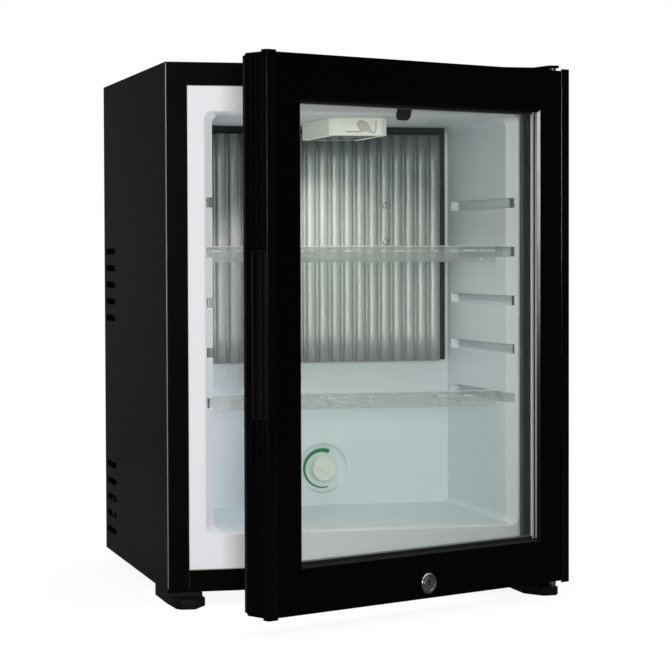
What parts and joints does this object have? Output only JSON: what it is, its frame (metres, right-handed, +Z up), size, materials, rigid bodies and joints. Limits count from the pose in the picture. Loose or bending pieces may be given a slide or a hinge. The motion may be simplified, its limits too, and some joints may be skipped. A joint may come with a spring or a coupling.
{
  "type": "minibar fridge",
  "caption": "Small black free-standing fridge with an insulated glass door hung ajar, a white liner with clear shelves, and an absorption cooling unit behind.",
  "frame": {"origin": "middle of the footprint with the door ajar as in the picture, on the floor", "axes": "+Z up, +Y from the door towards the back of the cabinet, +X to the right seen from the front"},
  "size_m": [0.4124, 0.621, 0.5425],
  "materials": {
    "shell_paint": "satin",
    "black_steel": "satin",
    "liner_plastic": "satin",
    "rigid_foam": "matte",
    "galvanised": "satin",
    "aluminium": "satin",
    "bright_steel": "polished",
    "chrome": "polished",
    "cream_plastic": "satin",
    "green_plastic": "satin",
    "board": "satin",
    "clear_plastic": "gloss",
    "glass": "polished",
    "gloss_black": "gloss",
    "black_plastic": "satin",
    "rubber": "matte",
    "nylon": "satin",
    "unit_paint": "satin"
  },
  "bodies": {
    "cabinet": {"outer_shell": "shell_paint", "base_pan": "shell_paint", "inner_liner": "liner_plastic", "insulation_foam": "rigid_foam", "rear_insulation_panel": "galvanised", "cooling_plate": "aluminium", "evaporator_block": "aluminium", "plate_screw_1": "bright_steel", "plate_screw_2": "bright_steel", "plate_screw_3": "bright_steel", "plate_screw_4": "bright_steel", "light_box": "cream_plastic", "light_lens": "clear_plastic", "lamp_board": "board", "thermostat": "black_plastic", "dial_scale": "green_plastic", "front_foot_left": "black_plastic", "front_foot_right": "black_plastic", "rear_foot_left": "rubber", "rear_foot_right": "rubber", "lower_hinge_pin": "chrome", "upper_hinge_bracket": "black_steel", "upper_hinge_pin": "chrome", "boiler_sleeve": "galvanised", "heater_cartridge": "bright_steel", "condenser_pipe": "unit_paint", "condenser_fins": "aluminium", "evaporator_pipe": "unit_paint", "absorber_coil": "unit_paint", "gas_return_pipe": "unit_paint", "receiver_tank": "unit_paint", "heat_exchanger_pipe": "unit_paint", "upper_unit_brace": "black_steel", "lower_unit_brace": "black_steel", "control_box": "black_plastic", "mains_inlet": "black_plastic"},
    "door": {"door_bottom_rail": "gloss_black", "door_hinge_stile": "gloss_black", "door_top_rail": "gloss_black", "door_free_stile": "gloss_black", "outer_pane": "glass", "inner_pane": "glass", "glass_spacer": "aluminium", "inner_door_frame": "black_plastic", "door_gasket": "rubber", "free_edge_trim": "gloss_black", "hinge_edge_trim": "gloss_black", "free_side_grip": "black_plastic", "hinge_side_grip": "black_plastic", "lower_hinge_bushing": "nylon", "upper_hinge_bushing": "nylon", "lock_ring": "chrome", "light_magnet_holder": "black_plastic"},
    "lock": {"lock_barrel": "chrome", "lock_tongue": "bright_steel"},
    "dial": {"thermostat_knob": "cream_plastic", "thermostat_shaft": "bright_steel"},
    "light_switch": {"light_switch_lever": "cream_plastic"},
    "shelf_1_body": {"upper_shelf": "clear_plastic"},
    "shelf_2_body": {"lower_shelf": "clear_plastic"}
  },
  "joints": [
    {"name": "door_hinge", "type": "hinge", "parent": "cabinet", "child": "door", "pos_m": [0.19152, -0.11127, 0.0153], "axis": [0, 0, 1], "range_deg": [-27.76, 80]},
    {"name": "lock_turn", "type": "hinge", "parent": "door", "child": "lock", "pos_m": [0.02873, -0.21378, 0.03], "axis": [-0.4657, 0.8849, 0], "range_deg": [0, 90]},
    {"name": "dial_turn", "type": "hinge", "parent": "cabinet", "child": "dial", "pos_m": [0.00502, 0.12793, 0.1142], "axis": [0, -1, 0], "range_deg": [-109, 109]},
    {"name": "light_switch_tilt", "type": "hinge", "parent": "cabinet", "child": "light_switch", "pos_m": [0.00002, -0.06907, 0.4809], "axis": [0, -1, 0], "range_deg": [-30, 30]},
    {"name": "upper_shelf_slide", "type": "slide", "parent": "cabinet", "child": "shelf_1_body", "axis": [0, -1, 0], "range_m": [0, 0.038]},
    {"name": "lower_shelf_slide", "type": "slide", "parent": "cabinet", "child": "shelf_2_body", "axis": [0, -1, 0], "range_m": [0, 0.038]}
  ]
}
